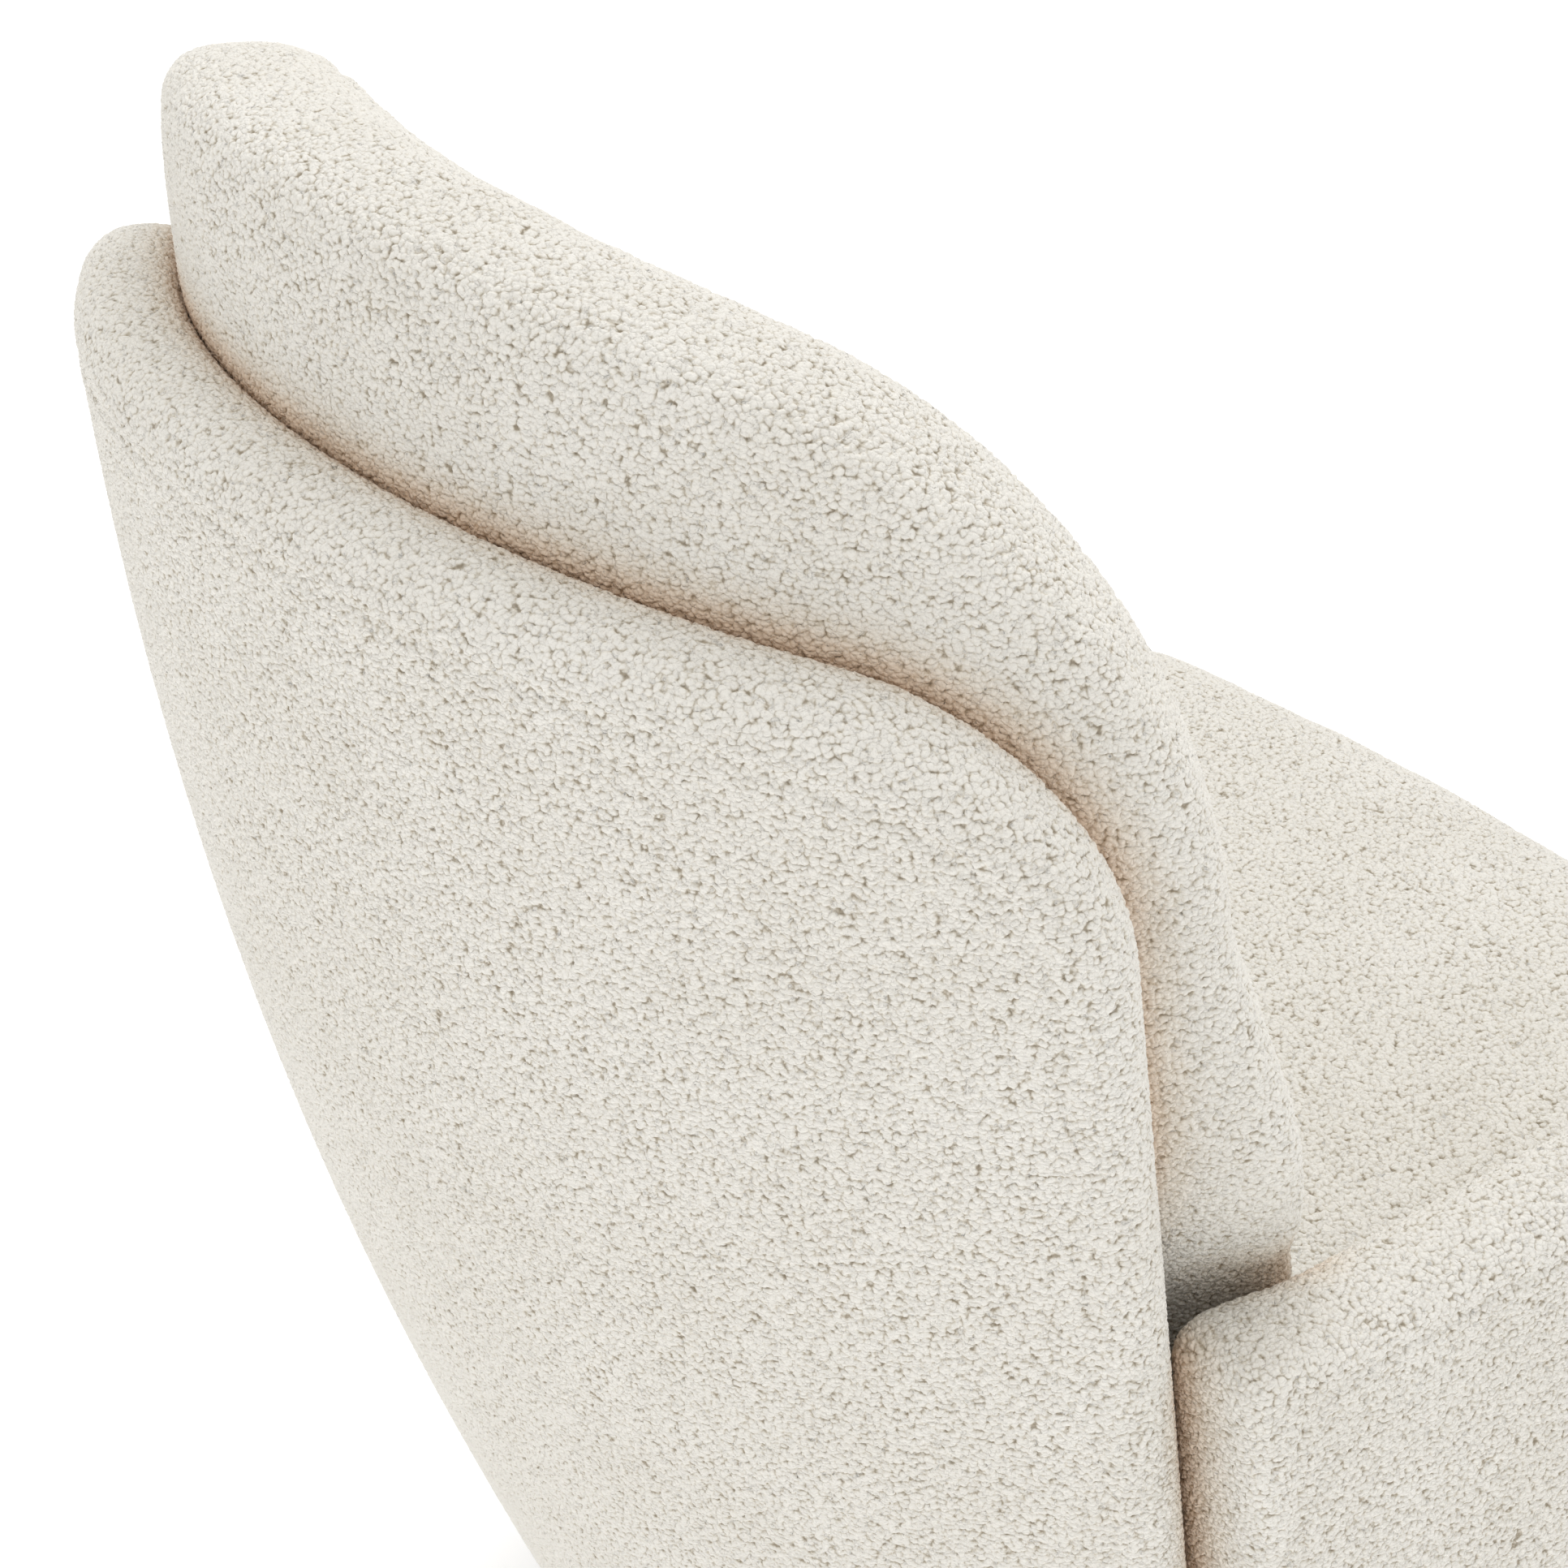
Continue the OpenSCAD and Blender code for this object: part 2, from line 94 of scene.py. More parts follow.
# ---- Bent space: s runs round the plan curve, z is height, t is depth outwards ----


def ease(u):
    u = np.clip(u, 0, 1)
    return u * u * (3 - 2 * u)


def bend(s, z, t):
    turn = np.abs(s) / PLAN_RADIUS
    drop = np.maximum(0, (SHELL_TOP - z) / SHELL_TOP)
    tuck = (TUCK_BACK * np.cos(turn) ** 2 + TUCK_SIDE * np.sin(turn) ** 2) * drop ** 2
    r = PLAN_RADIUS + t - tuck
    y = CREASE_Y - PLAN_RADIUS + r * np.cos(turn) - math.tan(RECLINE) * (SHELL_TOP - z)
    return np.stack([np.copysign(r * np.sin(turn), s), y, z + 0 * s], -1)


def shell_reach(z):
    return SHELL_HALF + SHELL_FLARE * np.maximum(0, SHELL_TOP - SHELL_CROWN - SHELL_CORNER - z)


def arm_mid_x(z):
    return bend(shell_reach(z), z, SHELL_THICK)[..., 0] + ARM_PROUD - ARM_THICK / 2


def arm_inner_x(z):
    return arm_mid_x(z) - ARM_THICK / 2


def arm_back_y(z):
    turn = shell_reach(z) / PLAN_RADIUS
    tip = bend(shell_reach(z), z, SHELL_THICK / 2)[..., 1]
    return tip - FOLD_GAP - SHELL_THICK / 2 * (1 - np.sin(turn))


def map_inner(s, z, t):
    """Squeezes the inner back between the arms, and lets it spill over their rounded top edge."""
    p = bend(s, z, t)
    reach = INNER_HALF + INNER_FLARE * np.maximum(0, INNER_TOP - INNER_CROWN - INNER_CORNER - z)
    widest = bend(reach, z, -FOLD_GAP)[..., 0]
    limit = arm_inner_x(np.minimum(z, ARM_TOP)) - 2 * FOLD_GAP
    x = np.abs(p[..., 0])
    squeezed = SQUEEZE_X + (x - SQUEEZE_X) * (limit - SQUEEZE_X) / (widest - SQUEEZE_X)
    freed = squeezed + (x - squeezed) * ease((z - ARM_TOP + SQUEEZE_START) / SQUEEZE_FADE)
    roll = np.clip((z - ARM_TOP + ARM_ROLL) / ARM_ROLL, 0, 1)
    over = ARM_ROLL * (1 - np.sqrt(1 - roll ** 2)) + ARM_SPILL * np.maximum(0, z - ARM_TOP)
    freed = np.minimum(freed, limit + over)
    p[..., 0] = np.copysign(np.where(x < SQUEEZE_X, x, freed), s)
    return p


ARM_HALF = (arm_back_y(np.array(ARM_TOP)) - ARM_FRONT_Y) / 2


def map_arm(s, z, t):
    u = (s + ARM_HALF) / (2 * ARM_HALF)
    front_y = ARM_FRONT_Y + ARM_RAKE * ((ARM_TOP - z) / ARM_TOP) ** 2
    y = front_y + (arm_back_y(z) - front_y) * u
    return np.stack([arm_mid_x(z) + t, y, z + 0 * s], -1)


def map_arm_right(s, z, t):
    return map_arm(s, z, t) * np.array([-1, 1, 1])


SEAT_HALF = float(arm_inner_x(np.array(SEAT_BOTTOM + SEAT_THICK / 2)))


def map_seat(s, z, t):
    height = SEAT_BOTTOM + SEAT_THICK / 2 + t
    return np.stack([s / SEAT_HALF * (arm_inner_x(height) - FOLD_GAP), -z, height], -1)


FRONT_THICK = 0.040


def map_front(s, z, t):
    tuck = 0.040 * ((SEAT_BOTTOM - z) / (SEAT_BOTTOM - BODY_BOTTOM)) ** 2
    y = SEAT_FRONT_Y + 0.024 + FRONT_THICK / 2 - t + tuck + SEAT_BOW * (s / SEAT_HALF) ** 2
    return np.stack([s / SEAT_HALF * (arm_inner_x(z) - FOLD_GAP), y, z + 0 * s], -1)


SHRINK = 0.0015
THINNEST = 0.0008
FAR_START, FAR_RUN = 0.075, 0.060
LOW_START, LOW_RUN = 0.020, 0.120


class Pad:
    """A padded slab in flat (s, z, t) space: a rounded outline with a rounded edge, then bent.

    edge and edge_out are the edge radii on the two faces, corner and corner_far the outline's
    radii at the two ends. edge_far is the radius at the far end, and edge_low the outer radius
    below the arm's top. cap is how far the stuffing may push a point, 0 for a tight pad.
    """

    def __init__(self, name, mapping, half, bottom, top, thick, edge, corner, crown=0.0, flare=0.0,
                 heel=0.0, puff=0.0, mid=0.0, cap=0.0, nodes=(), fill=0.8, edge_out=None,
                 corner_far=None, edge_far=None, edge_low=None):
        self.name = name
        self.mapping = mapping
        self.half = half - SHRINK
        self.bottom = bottom + SHRINK
        self.top = top - SHRINK
        self.thick = thick - 2 * SHRINK
        self.edge = edge - SHRINK
        self.edge_out = (edge_out or edge) - SHRINK
        self.corner = corner
        self.corner_far = corner_far or corner
        self.edge_far = edge_far
        self.edge_low = edge_low
        self.crown = crown
        self.flare = flare
        self.heel = heel
        self.puff = puff
        self.mid = mid
        self.cap = cap
        self.nodes = nodes
        self.fill = fill
        self.seams = []

    def outline_top(self, s, corner):
        over = np.maximum(0, np.abs(s) - (self.half - corner))
        drop = corner - np.sqrt(np.maximum(0, corner ** 2 - over ** 2))
        return self.top - self.crown * (s / self.half) ** 2 - drop

    def reach(self, z, corner):
        return self.half + self.flare * np.maximum(0, self.top - self.crown - corner - z)

    def edge_distance(self, s, z, low, high, corner):
        reach = self.reach(z, corner)
        over = np.abs(s) - (reach - corner)
        dip = self.crown * np.minimum(1, s / self.half) ** 2
        rise = z - (self.top - dip - corner)
        side = np.where((over > 0) & (rise > 0), corner - np.hypot(over, rise),
                        np.minimum(reach - np.abs(s), high - z))
        return np.maximum(0, np.minimum(side, z - low))

    def depth(self, d, edge):
        round_in = edge - np.minimum(d, edge)
        return np.maximum(THINNEST, self.thick / 2 - edge + np.sqrt(edge ** 2 - round_in ** 2))

    def mesh(self, nx=120, nz=90):
        u = np.sin(np.pi * np.arange(nx + 1) / nx - np.pi / 2)
        v = (1 - np.cos(np.pi * np.arange(nz + 1) / nz)) / 2
        u, v = np.meshgrid(u, v)
        corner = np.where(u > 0, self.corner_far, self.corner)
        low = self.bottom + self.heel * u ** 2
        high = self.outline_top(u * self.half, corner)
        z = low + (high - low) * v
        s = u * self.reach(z, corner)
        d = self.edge_distance(s, z, low, high, corner)
        swell = self.puff * np.cos(np.pi / 2 * u) * np.sin(np.pi * v)
        edge, edge_out = self.edge, self.edge_out
        if self.edge_far:
            edge = edge + (self.edge_far - edge) * ease((s - self.half + FAR_START) / FAR_RUN)
            edge_out = edge
        if self.edge_low:
            above_arm = ease((z - ARM_TOP - LOW_START) / LOW_RUN)
            edge_out = self.edge_low + (edge_out - self.edge_low) * above_arm
        inner = self.mapping(s, z, self.mid - self.depth(d, edge)).reshape(-1, 3)
        outer = self.mapping(s, z, self.mid + self.depth(d, edge_out) + swell).reshape(-1, 3)
        n = nx + 1
        total = n * (nz + 1)
        faces = []
        for j in range(nz):
            for i in range(nx):
                k = j * n + i
                faces.append((k, k + n, k + n + 1, k + 1))
                faces.append((total + k, total + k + 1, total + k + n + 1, total + k + n))
        ring = list(range(nx))
        ring += [j * n + nx for j in range(nz)]
        ring += [nz * n + i for i in range(nx, 0, -1)]
        ring += [j * n for j in range(nz, 0, -1)]
        for a, b in zip(ring, ring[1:] + ring[:1]):
            faces.append((a, b, total + b, total + a))
        return np.concatenate([inner, outer]), faces

    def line(self, inset, depth, top=None, crown=None, count=400):
        """A line on the surface that follows the outline at an inset, from foot to foot."""
        top = (self.top if top is None else top) - inset
        crown = self.crown if crown is None else crown
        corner = max(self.corner - inset, 0.004)
        half = self.half - inset
        foot = self.bottom
        shoulder = top - crown - corner
        side = np.linspace(foot, shoulder, count // 4)
        a = np.radians(np.linspace(0, 90, count // 8))
        across = np.linspace(half - corner, -(half - corner), count // 4)
        turn_s = half - corner + corner * np.cos(a)
        turn_z = top - crown * (turn_s / half) ** 2 - corner + corner * np.sin(a)
        side_s = half + self.flare * (shoulder - side)
        s = np.concatenate([side_s, turn_s, across, -turn_s[::-1], -side_s[::-1]])
        z = np.concatenate([side, turn_z, top - crown * (across / half) ** 2, turn_z[::-1],
                            side[::-1]])
        return self.mapping(s, z, depth + 0 * s)


# ---- Mesh helpers ----


def new_object(name, points, faces):
    mesh = bpy.data.meshes.new(name)
    mesh.from_pydata([tuple(p) for p in points], [], faces)
    mesh.update()
    obj = bpy.data.objects.new(name, mesh)
    scene.collection.objects.link(obj)
    return obj


def coords(mesh, what="co"):
    out = np.zeros(len(mesh.vertices) * 3, np.float32)
    mesh.vertices.foreach_get(what, out)
    return out.reshape(-1, 3).astype(float)


def set_coords(mesh, points):
    mesh.vertices.foreach_set("co", points.astype(np.float32).ravel())
    mesh.update()


def bake_modifiers(obj):
    """Replaces the object's mesh by what its modifiers make of it."""
    graph = bpy.context.evaluated_depsgraph_get()
    mesh = bpy.data.meshes.new_from_object(obj.evaluated_get(graph))
    old = obj.data
    obj.modifiers.clear()
    obj.data = mesh
    bpy.data.meshes.remove(old)
    mesh.name = obj.name


def outward(obj):
    """Turns the faces outwards where the closed form came out inside-out."""
    mesh = obj.data
    mesh.calc_loop_triangles()
    tri = np.zeros(len(mesh.loop_triangles) * 3, np.int32)
    mesh.loop_triangles.foreach_get("vertices", tri)
    a, b, c = coords(mesh)[tri.reshape(-1, 3)].transpose(1, 0, 2)
    if np.einsum("ij,ij->i", a, np.cross(b, c)).sum() < 0:
        mesh.flip_normals()


def remesh(obj, size):
    mod = obj.modifiers.new("Remesh", "REMESH")
    mod.mode = "VOXEL"
    mod.voxel_size = size
    smooth = obj.modifiers.new("Smooth", "SMOOTH")
    smooth.factor = 0.5
    smooth.iterations = 3
    bake_modifiers(obj)


def tree_of(obj):
    mesh = obj.data
    return BVHTree.FromPolygons([tuple(c) for c in coords(mesh)],
                                [tuple(p.vertices) for p in mesh.polygons])


CLOTH_FRAMES = 20


def inflate(obj, cap):
    """The stuffing pushes the cover out: Cloth with pressure, each point kept within cap."""
    start = coords(obj.data)
    mod = obj.modifiers.new("Cloth", "CLOTH")
    cloth = mod.settings
    cloth.use_pressure = True
    cloth.uniform_pressure_force = 4.0
    cloth.quality = 4
    cloth.tension_stiffness = 15
    cloth.compression_stiffness = 15
    cloth.bending_stiffness = 2.0
    cloth.effector_weights.gravity = 0
    mod.point_cache.frame_start = 1
    mod.point_cache.frame_end = CLOTH_FRAMES
    for number in range(1, CLOTH_FRAMES + 1):
        scene.frame_set(number)
    graph = bpy.context.evaluated_depsgraph_get()
    moved = coords(obj.evaluated_get(graph).data)
    obj.modifiers.remove(mod)
    scene.frame_set(1)
    step = moved - start
    length = np.linalg.norm(step, axis=1, keepdims=True)
    capped = cap * np.tanh(length / cap)
    set_coords(obj.data, start + step / np.maximum(length, 1e-9) * capped)
    return start


def keep_clear(obj, start, others, margin=0.0008):
    """Draws back every swollen point that would press into a neighbour."""
    moved = coords(obj.data)
    keep = np.ones(len(moved))
    for tree in others:
        for i, p in enumerate(moved):
            hit, normal, _, distance = tree.find_nearest(p, 0.03)
            if hit is None:
                continue
            after = (Vector(p) - hit).dot(normal)
            if after < margin:
                before = max((Vector(start[i]) - hit).dot(normal), margin)
                share = (before - margin) / max(before - after, 1e-6)
                keep[i] = min(keep[i], max(0.0, share))
    set_coords(obj.data, start + (moved - start) * keep[:, None])


def press_seam(obj, points, depth, width, ridge=0.0):
    """Draws the cover in along a line, with the cloth standing a little full on both sides."""
    tree = tree_of(obj)
    snapped = [tree.find_nearest(Vector(p))[0] for p in points]
    kd = kdtree.KDTree(len(snapped))
    for i, p in enumerate(snapped):
        kd.insert(p, i)
    kd.balance()
    at = coords(obj.data)
    normal = coords(obj.data, "normal")
    near = np.array([kd.find(p)[2] for p in at])
    push = -depth * np.exp(-(near / width) ** 2)
    push += ridge * np.exp(-((near - 2.4 * width) / (1.3 * width)) ** 2)
    set_coords(obj.data, at + normal * push[:, None])


# ---- Node materials ----


class Nodes:
    """A short way to build a node material that ends in one Principled shader."""

    def __init__(self, name, rough, **uniform):
        self.material = bpy.data.materials.new(name)
        self.material.use_nodes = True
        self.tree = self.material.node_tree
        self.shader = self.tree.nodes["Principled BSDF"]
        self.output = self.tree.nodes["Material Output"]
        self.shader.inputs["Roughness"].default_value = rough
        for key, value in uniform.items():
            self.shader.inputs[key.replace("_", " ")].default_value = value
        self.place = self.add("ShaderNodeTexCoord").outputs["Object"]

    def add(self, kind, **settings):
        node = self.tree.nodes.new(kind)
        for key, value in settings.items():
            if hasattr(node, key):
                setattr(node, key, value)
            else:
                node.inputs[key.replace("_", " ")].default_value = value
        return node

    def link(self, source, node, socket):
        self.tree.links.new(source, node.inputs[socket])

    def math(self, operation, a, b=None, c=None, clamp=False):
        node = self.add("ShaderNodeMath", operation=operation)
        node.use_clamp = clamp
        for index, value in enumerate((a, b, c)):
            if value is None:
                continue
            if isinstance(value, (int, float)):
                node.inputs[index].default_value = value
            else:
                self.link(value, node, index)
        return node.outputs[0]

    def vector(self, operation, a, b):
        node = self.add("ShaderNodeVectorMath", operation=operation)
        for index, value in enumerate((a, b)):
            if isinstance(value, tuple):
                node.inputs[index].default_value = value
            else:
                self.link(value, node, index)
        return node.outputs[0]

    def noise(self, scale, detail=2.0, place=None, rough=0.5):
        node = self.add("ShaderNodeTexNoise", Scale=scale, Detail=detail, Roughness=rough)
        self.link(place or self.place, node, "Vector")
        return node

    def cells(self, scale, place):
        node = self.add("ShaderNodeTexVoronoi", Scale=scale)
        self.link(place, node, "Vector")
        return node

    def ramp(self, source, stops):
        node = self.add("ShaderNodeValToRGB")
        while len(node.color_ramp.elements) < len(stops):
            node.color_ramp.elements.new(0.5)
        for element, (at, colour) in zip(node.color_ramp.elements, stops):
            element.position = at
            element.color = (*colour, 1)
        self.link(source, node, "Fac")
        return node.outputs["Color"]

    def multiply(self, a, b):
        node = self.add("ShaderNodeMix", data_type="RGBA", blend_type="MULTIPLY")
        node.inputs[0].default_value = 1.0
        self.link(a, node, 6)
        self.link(b, node, 7)
        return node.outputs[2]

    def bump(self, height, distance):
        node = self.add("ShaderNodeBump", Strength=1.0, Distance=distance)
        self.link(height, node, "Height")
        self.link(node.outputs[0], self.shader, "Normal")

    def colour(self, source):
        self.link(source, self.shader, "Base Color")


def boucle():
    """Ivory boucle: rounded loops on cells of about 2.6 mm, with painted shade in the small pits
    between them and painted warm shade in the creases between pads.
    """
    n = Nodes("boucle_ivory", 0.92, Sheen_Weight=0.15, Sheen_Roughness=0.5)
    n.shader.inputs["Sheen Tint"].default_value = (1.0, 0.97, 0.92, 1)
    n.shader.inputs["Specular IOR Level"].default_value = 0.2
    sway = n.vector("SUBTRACT", n.noise(230, 2).outputs["Color"], (0.5, 0.5, 0.5))
    sway = n.vector("MULTIPLY", sway, (0.0034, 0.0034, 0.0034))
    place = n.vector("MULTIPLY", n.vector("ADD", n.place, sway), (1.0, 1.0, 1.25))
    loops = n.cells(385, place).outputs["Distance"]
    fuzz = n.noise(1000, 2, rough=0.6).outputs["Fac"]
    dome = n.math("SUBTRACT", 1.0, n.math("POWER", loops, 1.8), clamp=True)
    height = n.math("MULTIPLY_ADD", fuzz, 0.25, dome)
    # Painted shade: the ramp darkens the yarn colour towards the cell edges, standing in for the
    # shade in the pits between the loops.
    base = n.ramp(loops, [(0.0, (0.86, 0.84, 0.79)), (0.56, (0.84, 0.815, 0.76)),
                          (0.72, (0.72, 0.68, 0.60)), (0.92, (0.42, 0.365, 0.285))])
    patch = n.noise(14, 3).outputs["Fac"]
    tone = n.ramp(patch, [(0.3, (0.965, 0.96, 0.95)), (0.7, (1.0, 1.0, 1.0))])
    # Painted shade: the crease mask tints the colour warmer and darker where pads meet, standing in
    # for the shade and warm bounce light in the creases.
    crease = n.add("ShaderNodeAttribute", attribute_name="crease").outputs["Fac"]
    painted_crease_shade = n.ramp(crease, [(0.0, (1.0, 1.0, 1.0)), (0.45, (1.0, 0.955, 0.91)),
                           (1.0, (0.97, 0.76, 0.60))])
    n.colour(n.multiply(n.multiply(base, tone), painted_crease_shade))
    shift = n.add("ShaderNodeDisplacement", Scale=0.0023, Midlevel=0.85)
    n.link(height, shift, "Height")
    n.link(shift.outputs[0], n.output, "Displacement")
    n.material.displacement_method = "BOTH"
    return n.material


def wood(name, light, dark, along, rough=0.6):
    n = Nodes(name, rough)
    stretched = n.vector("MULTIPLY", n.place, along)
    rings = n.noise(26, 5, stretched, 0.6).outputs["Fac"]
    grain = n.noise(240, 3, stretched).outputs["Fac"]
    mixed = n.math("MULTIPLY_ADD", grain, 0.35, n.math("MULTIPLY", rings, 0.65))
    n.colour(n.ramp(mixed, [(0.35, dark), (0.65, light)]))
    n.bump(grain, 0.0004)
    return n.material


def metal(name, colour, rough, brushed=(1.0, 1.0, 40.0)):
    n = Nodes(name, rough, Metallic=1.0)
    streak = n.noise(160, 3, n.vector("MULTIPLY", n.place, brushed)).outputs["Fac"]
    dull = tuple(c * 0.82 for c in colour)
    n.colour(n.ramp(streak, [(0.3, dull), (0.7, colour)]))
    n.link(n.math("MULTIPLY_ADD", streak, 0.18, rough - 0.09), n.shader, "Roughness")
    n.bump(streak, 0.0001)
    return n.material


def plastic(name, colour, rough, grain=1400):
    n = Nodes(name, rough)
    mottle = n.noise(grain, 2).outputs["Fac"]
    lighter = tuple(c * 1.25 for c in colour)
    n.colour(n.ramp(n.noise(20, 3).outputs["Fac"], [(0.3, colour), (0.7, lighter)]))
    n.link(n.math("MULTIPLY_ADD", mottle, 0.15, rough - 0.07), n.shader, "Roughness")
    n.bump(mottle, 0.00015)
    return n.material


def woven(name, colour, pitch, rough=0.9):
    """A plain weave or non-woven cloth: crossing threads at the given pitch."""
    n = Nodes(name, rough, Sheen_Weight=0.1)
    size = 2 * math.pi / pitch
    split = n.add("ShaderNodeSeparateXYZ")
    n.link(n.place, split, "Vector")
    warp = n.math("SINE", n.math("MULTIPLY", split.outputs["X"], size))
    weft = n.math("SINE", n.math("MULTIPLY", n.math("ADD", split.outputs["Y"],
                                                    split.outputs["Z"]), size))
    weave = n.math("MULTIPLY_ADD", n.math("MULTIPLY", warp, weft), 0.5, 0.5)
    speck = n.noise(500, 2).outputs["Fac"]
    level = n.math("MULTIPLY_ADD", speck, 0.5, n.math("MULTIPLY", weave, 0.5))
    n.colour(n.ramp(level, [(0.2, tuple(c * 0.6 for c in colour)), (0.8, colour)]))
    n.bump(weave, pitch * 0.2)
    return n.material


def floor_material():
    n = Nodes("studio_floor", 0.75)
    drift = n.noise(0.7, 2).outputs["Fac"]
    n.colour(n.ramp(drift, [(0.3, (0.925, 0.925, 0.925)), (0.7, (0.95, 0.95, 0.95))]))
    n.shader.inputs["Emission Color"].default_value = (1, 1, 1, 1)
    n.shader.inputs["Emission Strength"].default_value = 0.36
    n.shader.inputs["Specular IOR Level"].default_value = 0.1
    return n.material


# ---- The padded pieces ----

shell = Pad("shell_upholstery", bend, SHELL_HALF, BODY_BOTTOM, SHELL_TOP, SHELL_THICK,
            0.016, SHELL_CORNER, SHELL_CROWN, SHELL_FLARE, mid=SHELL_THICK / 2,
            edge_out=SHELL_THICK / 2, nodes=("shell_cover", "shell_foam"), fill=0.9)
inner = Pad("inner_back_upholstery", map_inner, INNER_HALF, INNER_BOTTOM, INNER_TOP, INNER_THICK,
            INNER_THICK / 2, INNER_CORNER, INNER_CROWN, INNER_FLARE,
            mid=-FOLD_GAP - INNER_THICK / 2, edge_out=0.022, edge_low=0.008, cap=0.007,
            nodes=("inner_back_cover", "inner_back_foam"), fill=0.75)
seat = Pad("seat_cushion", map_seat, SEAT_HALF, SEAT_REAR, -SEAT_FRONT_Y, SEAT_THICK, 0.034,
           0.050, SEAT_BOW, heel=0.125, puff=0.008, cap=0.007, nodes=("seat_cover", "seat_foam"),
           fill=0.7)
front = Pad("front_border", map_front, SEAT_HALF, BODY_BOTTOM, SEAT_BOTTOM - 0.002, FRONT_THICK,
            0.012, 0.014, nodes=("front_cover", "front_foam"), fill=0.9)
arms = [Pad("arm_pad_" + side, mapping, ARM_HALF, BODY_BOTTOM, ARM_TOP, ARM_THICK, 0.026, 0.060,
            corner_far=0.020, edge_far=0.010, puff=0.003,
            nodes=("arm_cover_" + side, "arm_foam_" + side), fill=0.85)
        for side, mapping in (("left", map_arm), ("right", map_arm_right))]
pads = [shell, inner, seat, front] + arms

SEAM_INSET = 0.029
BOXING_INSET = 0.18 * INNER_THICK
BOXING_DEPTH = -FOLD_GAP - 0.753 * INNER_THICK
BOXING_TOP = SHELL_TOP + 0.0725
BOXING_CROWN = 0.0126


def lay_seams():
    """The seam lines that show: (points, depth, width, fullness beside the seam)."""
    shell.seams.append((shell.line(SEAM_INSET, SHELL_THICK), 0.0016, 0.0030, 0.0006))
    dart_z = np.linspace(0.846, 0.815, 20)
    shell.seams.append((bend(0 * dart_z - 0.02, dart_z, SHELL_THICK + 0 * dart_z),
                        0.0012, 0.0022, 0.0003))
    inner.seams.append((inner.line(BOXING_INSET, BOXING_DEPTH, BOXING_TOP, BOXING_CROWN),
                        0.0024, 0.0032, 0.0010))
    join_t = np.linspace(-FOLD_GAP - 0.12 * INNER_THICK, BOXING_DEPTH, 30)
    for side in (-1, 1):
        join_s = 0 * join_t + side * (INNER_HALF + 0.022)
        inner.seams.append((map_inner(join_s, 0 * join_t + 0.700, join_t), 0.0016, 0.0026, 0.0005))
    for arm in arms:
        arm.seams.append((arm.line(0.022, ARM_THICK / 2), 0.0016, 0.0028, 0.0006))
    for face in (1, -1):
        t = face * (SEAT_THICK / 2 - 0.016)
        seat.seams.append((seat.line(0.004, t), 0.0022, 0.0032, 0.0009))


COARSE_VOXEL = 0.009
FINE_VOXEL = 0.005
CREASE_SHADE_REACH = 0.024


def mark_creases(obj, others):
    """Stores how deep in a crease each point lies, from 0 in the open to 1 at a neighbour, as the
    mask for the painted shade in the creases.
    """
    near = np.full(len(obj.data.vertices), CREASE_SHADE_REACH)
    for tree in others:
        for i, vertex in enumerate(obj.data.vertices):
            distance = tree.find_nearest(vertex.co, CREASE_SHADE_REACH)[3]
            if distance is not None:
                near[i] = min(near[i], distance)
    depth = obj.data.attributes.new("crease", "FLOAT", "POINT")
    depth.data.foreach_set("value", (1 - near / CREASE_SHADE_REACH).astype(np.float32))


def build_pads():
    """Builds every pad, swells it, keeps it off its neighbours and sews its seams."""
    objects = []
    for pad in pads:
        obj = new_object(pad.name, *pad.mesh())
        outward(obj)
        remesh(obj, COARSE_VOXEL if pad.cap else FINE_VOXEL)
        objects.append(obj)
    trees = [tree_of(obj) for obj in objects]
    lay_seams()
    for pad, obj in zip(pads, objects):
        others = [t for t, o in zip(trees, objects) if o is not obj]
        if pad.cap:
            start = inflate(obj, pad.cap)
            keep_clear(obj, start, others)
        mark_creases(obj, others)
    for pad, obj in zip(pads, objects):
        finer = obj.modifiers.new("Finer", "SUBSURF")
        finer.levels = 2 if pad.cap else 1
        finer.render_levels = finer.levels
        bake_modifiers(obj)
        for seam in pad.seams:
            press_seam(obj, *seam)
        obj.data.shade_smooth()
        render_only = obj.modifiers.new("Loops", "SUBSURF")
        render_only.levels = 0
        render_only.render_levels = 1
    return objects


fabric = boucle()
for pad, obj in zip(pads, build_pads()):
    obj.data.materials.clear()
    obj.data.materials.append(fabric)
    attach(obj, BODY)
    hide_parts(*pad.nodes)

# ---- Sheets of cloth: the dust cover under the base and the deck cloth over the springs ----


def grid_sheet(name, rows, closed):
    """A one-layer sheet from rows of points; closed rows join their two ends."""
    count = len(rows[0])
    points = [p for row in rows for p in row]
    faces = []
    for j in range(len(rows) - 1):
        for i in range(count if closed else count - 1):
            k = (i + 1) % count
            faces.append((j * count + i, j * count + k, (j + 1) * count + k,
                          (j + 1) * count + i))
    obj = new_object(name, points, faces)
    skin = obj.modifiers.new("Cloth thickness", "SOLIDIFY")
    skin.thickness = 0.0008
    skin.offset = 0
    bake_modifiers(obj)
    obj.data.shade_smooth()
    return obj


DUST_CORNERS = ((0.165, -0.222, 0.064), (-0.165, -0.222, 0.064), (0.138, 0.010, 0.084),
                (-0.138, 0.010, 0.084))
DUST_HOLE_RADIUS = 0.121


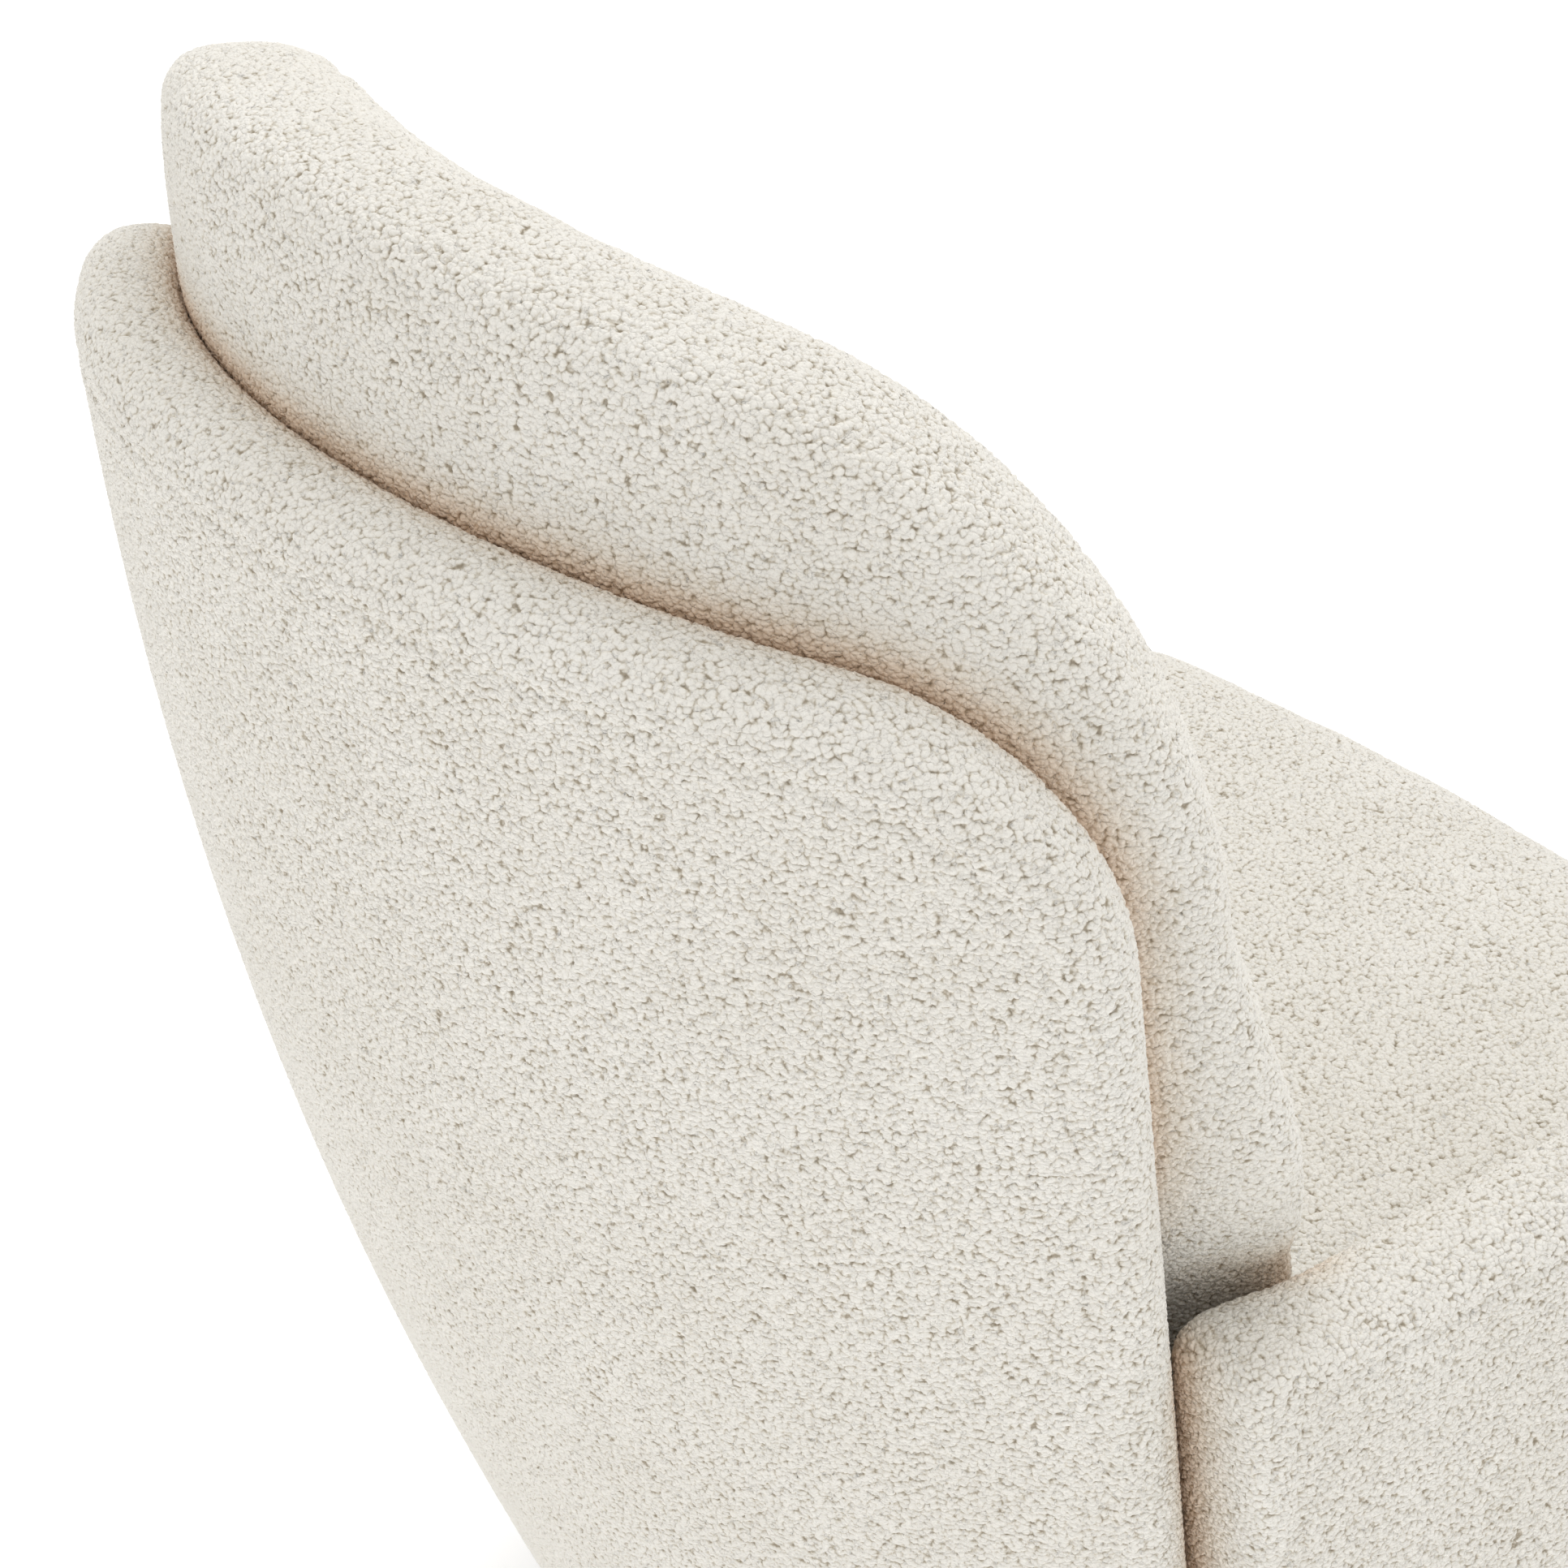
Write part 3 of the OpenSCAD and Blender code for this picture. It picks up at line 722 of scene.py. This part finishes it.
def dust_cover_sheet():
    """A sheet from the swivel's round hole out to the rounded outline of the base board."""
    low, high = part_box("dust_cover")
    z = (low.z + high.z) / 2
    angles = np.linspace(0, 2 * math.pi, 400, endpoint=False)
    ring = []
    for cx, cy, r in DUST_CORNERS:
        ring += [(cx + r * math.cos(a), cy + r * math.sin(a)) for a in angles]
    ring = np.array(ring)
    rows = []
    spokes = np.linspace(0, 2 * math.pi, 144, endpoint=False)
    support = np.array([[math.cos(a), math.sin(a)] for a in angles])
    reach = (ring @ support.T).max(0) - support[:, 1] * SWIVEL_Y
    for step in np.linspace(0, 1, 26):
        row = []
        for a in spokes:
            out = np.cos(a - angles)
            edge = (reach[out > 0.05] / out[out > 0.05]).min()
            r = DUST_HOLE_RADIUS + (edge - DUST_HOLE_RADIUS) * step
            ripple = 0.0009 * math.sin(math.pi * step) * math.sin(5 * a + 9 * step)
            row.append((r * math.cos(a), SWIVEL_Y + r * math.sin(a), z + ripple))
        rows.append(row)
    return grid_sheet("dust_cover_cloth", rows, True)


def deck_sheet():
    """A sheet the size of the seat frame's opening, with the least ripple."""
    low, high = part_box("deck_cloth")
    rows = []
    for y in np.linspace(low.y, high.y, 60):
        row = []
        for x in np.linspace(low.x, high.x, 66):
            ripple = 0.0004 * math.sin(40 * x) * math.sin(31 * y)
            row.append((x, y, (low.z + high.z) / 2 + ripple))
        rows.append(row)
    return grid_sheet("deck_cloth_sheet", rows, False), high - low


dust = dust_cover_sheet()
dust.data.materials.append(woven("dust_cover_black", (0.030, 0.030, 0.032), 0.0022))
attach(dust, BODY)
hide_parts("dust_cover")

deck, deck_size = deck_sheet()
deck.data.materials.append(woven("deck_felt_grey", (0.16, 0.155, 0.15), 0.0018))
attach(deck, BODY)
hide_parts("deck_cloth")

# ---- Better materials on the CAD nodes that stay ----

beech = wood("beech", (0.66, 0.47, 0.28), (0.48, 0.31, 0.16), (1.0, 9.0, 1.0))
beech_tall = wood("beech_upright", (0.66, 0.47, 0.28), (0.47, 0.30, 0.16), (9.0, 9.0, 1.0))
stained_ply = wood("stained_plywood", (0.050, 0.042, 0.036), (0.022, 0.019, 0.017),
                   (1.0, 8.0, 14.0), 0.5)
bright = metal("zinc_plate", (0.62, 0.63, 0.64), 0.34)
spring = metal("spring_steel", (0.33, 0.34, 0.36), 0.42)
chrome = metal("ball_chrome", (0.80, 0.81, 0.82), 0.12, (1.0, 1.0, 1.0))
strap = woven("webbing_black", (0.045, 0.043, 0.042), 0.0035)
drum = plastic("plinth_black", (0.018, 0.018, 0.019), 0.42)
nylon = plastic("glide_nylon", (0.030, 0.030, 0.030), 0.55)
cage = plastic("cage_plastic", (0.10, 0.10, 0.11), 0.5)
LOOKS = [
    (drum, ["base_drum"]),
    (nylon, ["base_glides"]),
    (cage, ["ball_cage"]),
    (chrome, ["bearing_balls"]),
    (bright, ["swivel_lower_plate", "swivel_upper_plate", "swivel_lower_screws", "pin_retainer",
              "swivel_upper_bolts", "frame_screws", "spring_clips", "king_pin"]),
    (spring, ["seat_springs"]),
    (strap, ["spring_ties", "back_webbing"]),
    (stained_ply, ["base_board"]),
    (beech_tall, ["corner_posts", "back_post_left", "back_post_right", "arm_panel_left",
                  "arm_panel_right", "corner_blocks"]),
    (beech, ["front_rail", "back_rail", "side_rail_left", "side_rail_right", "back_top_rail",
             "back_middle_rail", "back_lower_rail", "arm_rail_left", "arm_rail_right"]),
]
for material, names in LOOKS:
    for name in names:
        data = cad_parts[name].data
        if data.materials:
            data.materials[0] = material
        else:
            data.materials.append(material)

# ---- Studio ----

floor = new_object("studio_floor", [(-20, -20, 0), (20, -20, 0), (20, 20, 0), (-20, 20, 0)],
                   [(0, 1, 2, 3)])
floor.data.materials.append(floor_material())

world = bpy.data.worlds.new("Studio")
world.use_nodes = True
scene.world = world
world.node_tree.nodes["Background"].inputs["Color"].default_value = (1.0, 0.995, 0.985, 1)
world.node_tree.nodes["Background"].inputs["Strength"].default_value = 0.81


def soft_light(name, location, target, size, watts):
    data = bpy.data.lights.new(name, "AREA")
    data.shape = "DISK"
    data.size = size
    data.energy = watts
    obj = bpy.data.objects.new(name, data)
    obj.location = location
    obj.rotation_euler = (Vector(target) - Vector(location)).to_track_quat("-Z", "Y").to_euler()
    scene.collection.objects.link(obj)


soft_light("overhead", (0.3, -0.9, 3.4), (0, 0, 0.5), 3.0, 37)
soft_light("from_behind", (-0.8, 3.2, 2.2), (0, 0, 0.5), 2.4, 5)

CAMERA_AT = (-1.4916, 1.2331, 1.8315)
CAMERA_AZIMUTH = math.radians(232.959)
CAMERA_ELEVATION = math.radians(32.376)
CAMERA_ROLL = math.radians(-1.574)
back = Vector((math.sin(CAMERA_AZIMUTH) * math.cos(CAMERA_ELEVATION),
               -math.cos(CAMERA_AZIMUTH) * math.cos(CAMERA_ELEVATION),
               math.sin(CAMERA_ELEVATION)))
right = Vector((math.cos(CAMERA_AZIMUTH), math.sin(CAMERA_AZIMUTH), 0))
up = back.cross(right)
level = Matrix((right, up, back)).transposed()
camera_data = bpy.data.cameras.new("Camera")
camera_data.lens = 113.22
camera_data.sensor_width = 36
camera = bpy.data.objects.new("Camera", camera_data)
camera.matrix_world = Matrix.Translation(CAMERA_AT) @ (
    level @ Matrix.Rotation(CAMERA_ROLL, 3, "Z")).to_4x4()
scene.collection.objects.link(camera)
scene.camera = camera
scene.view_settings.view_transform = "Standard"
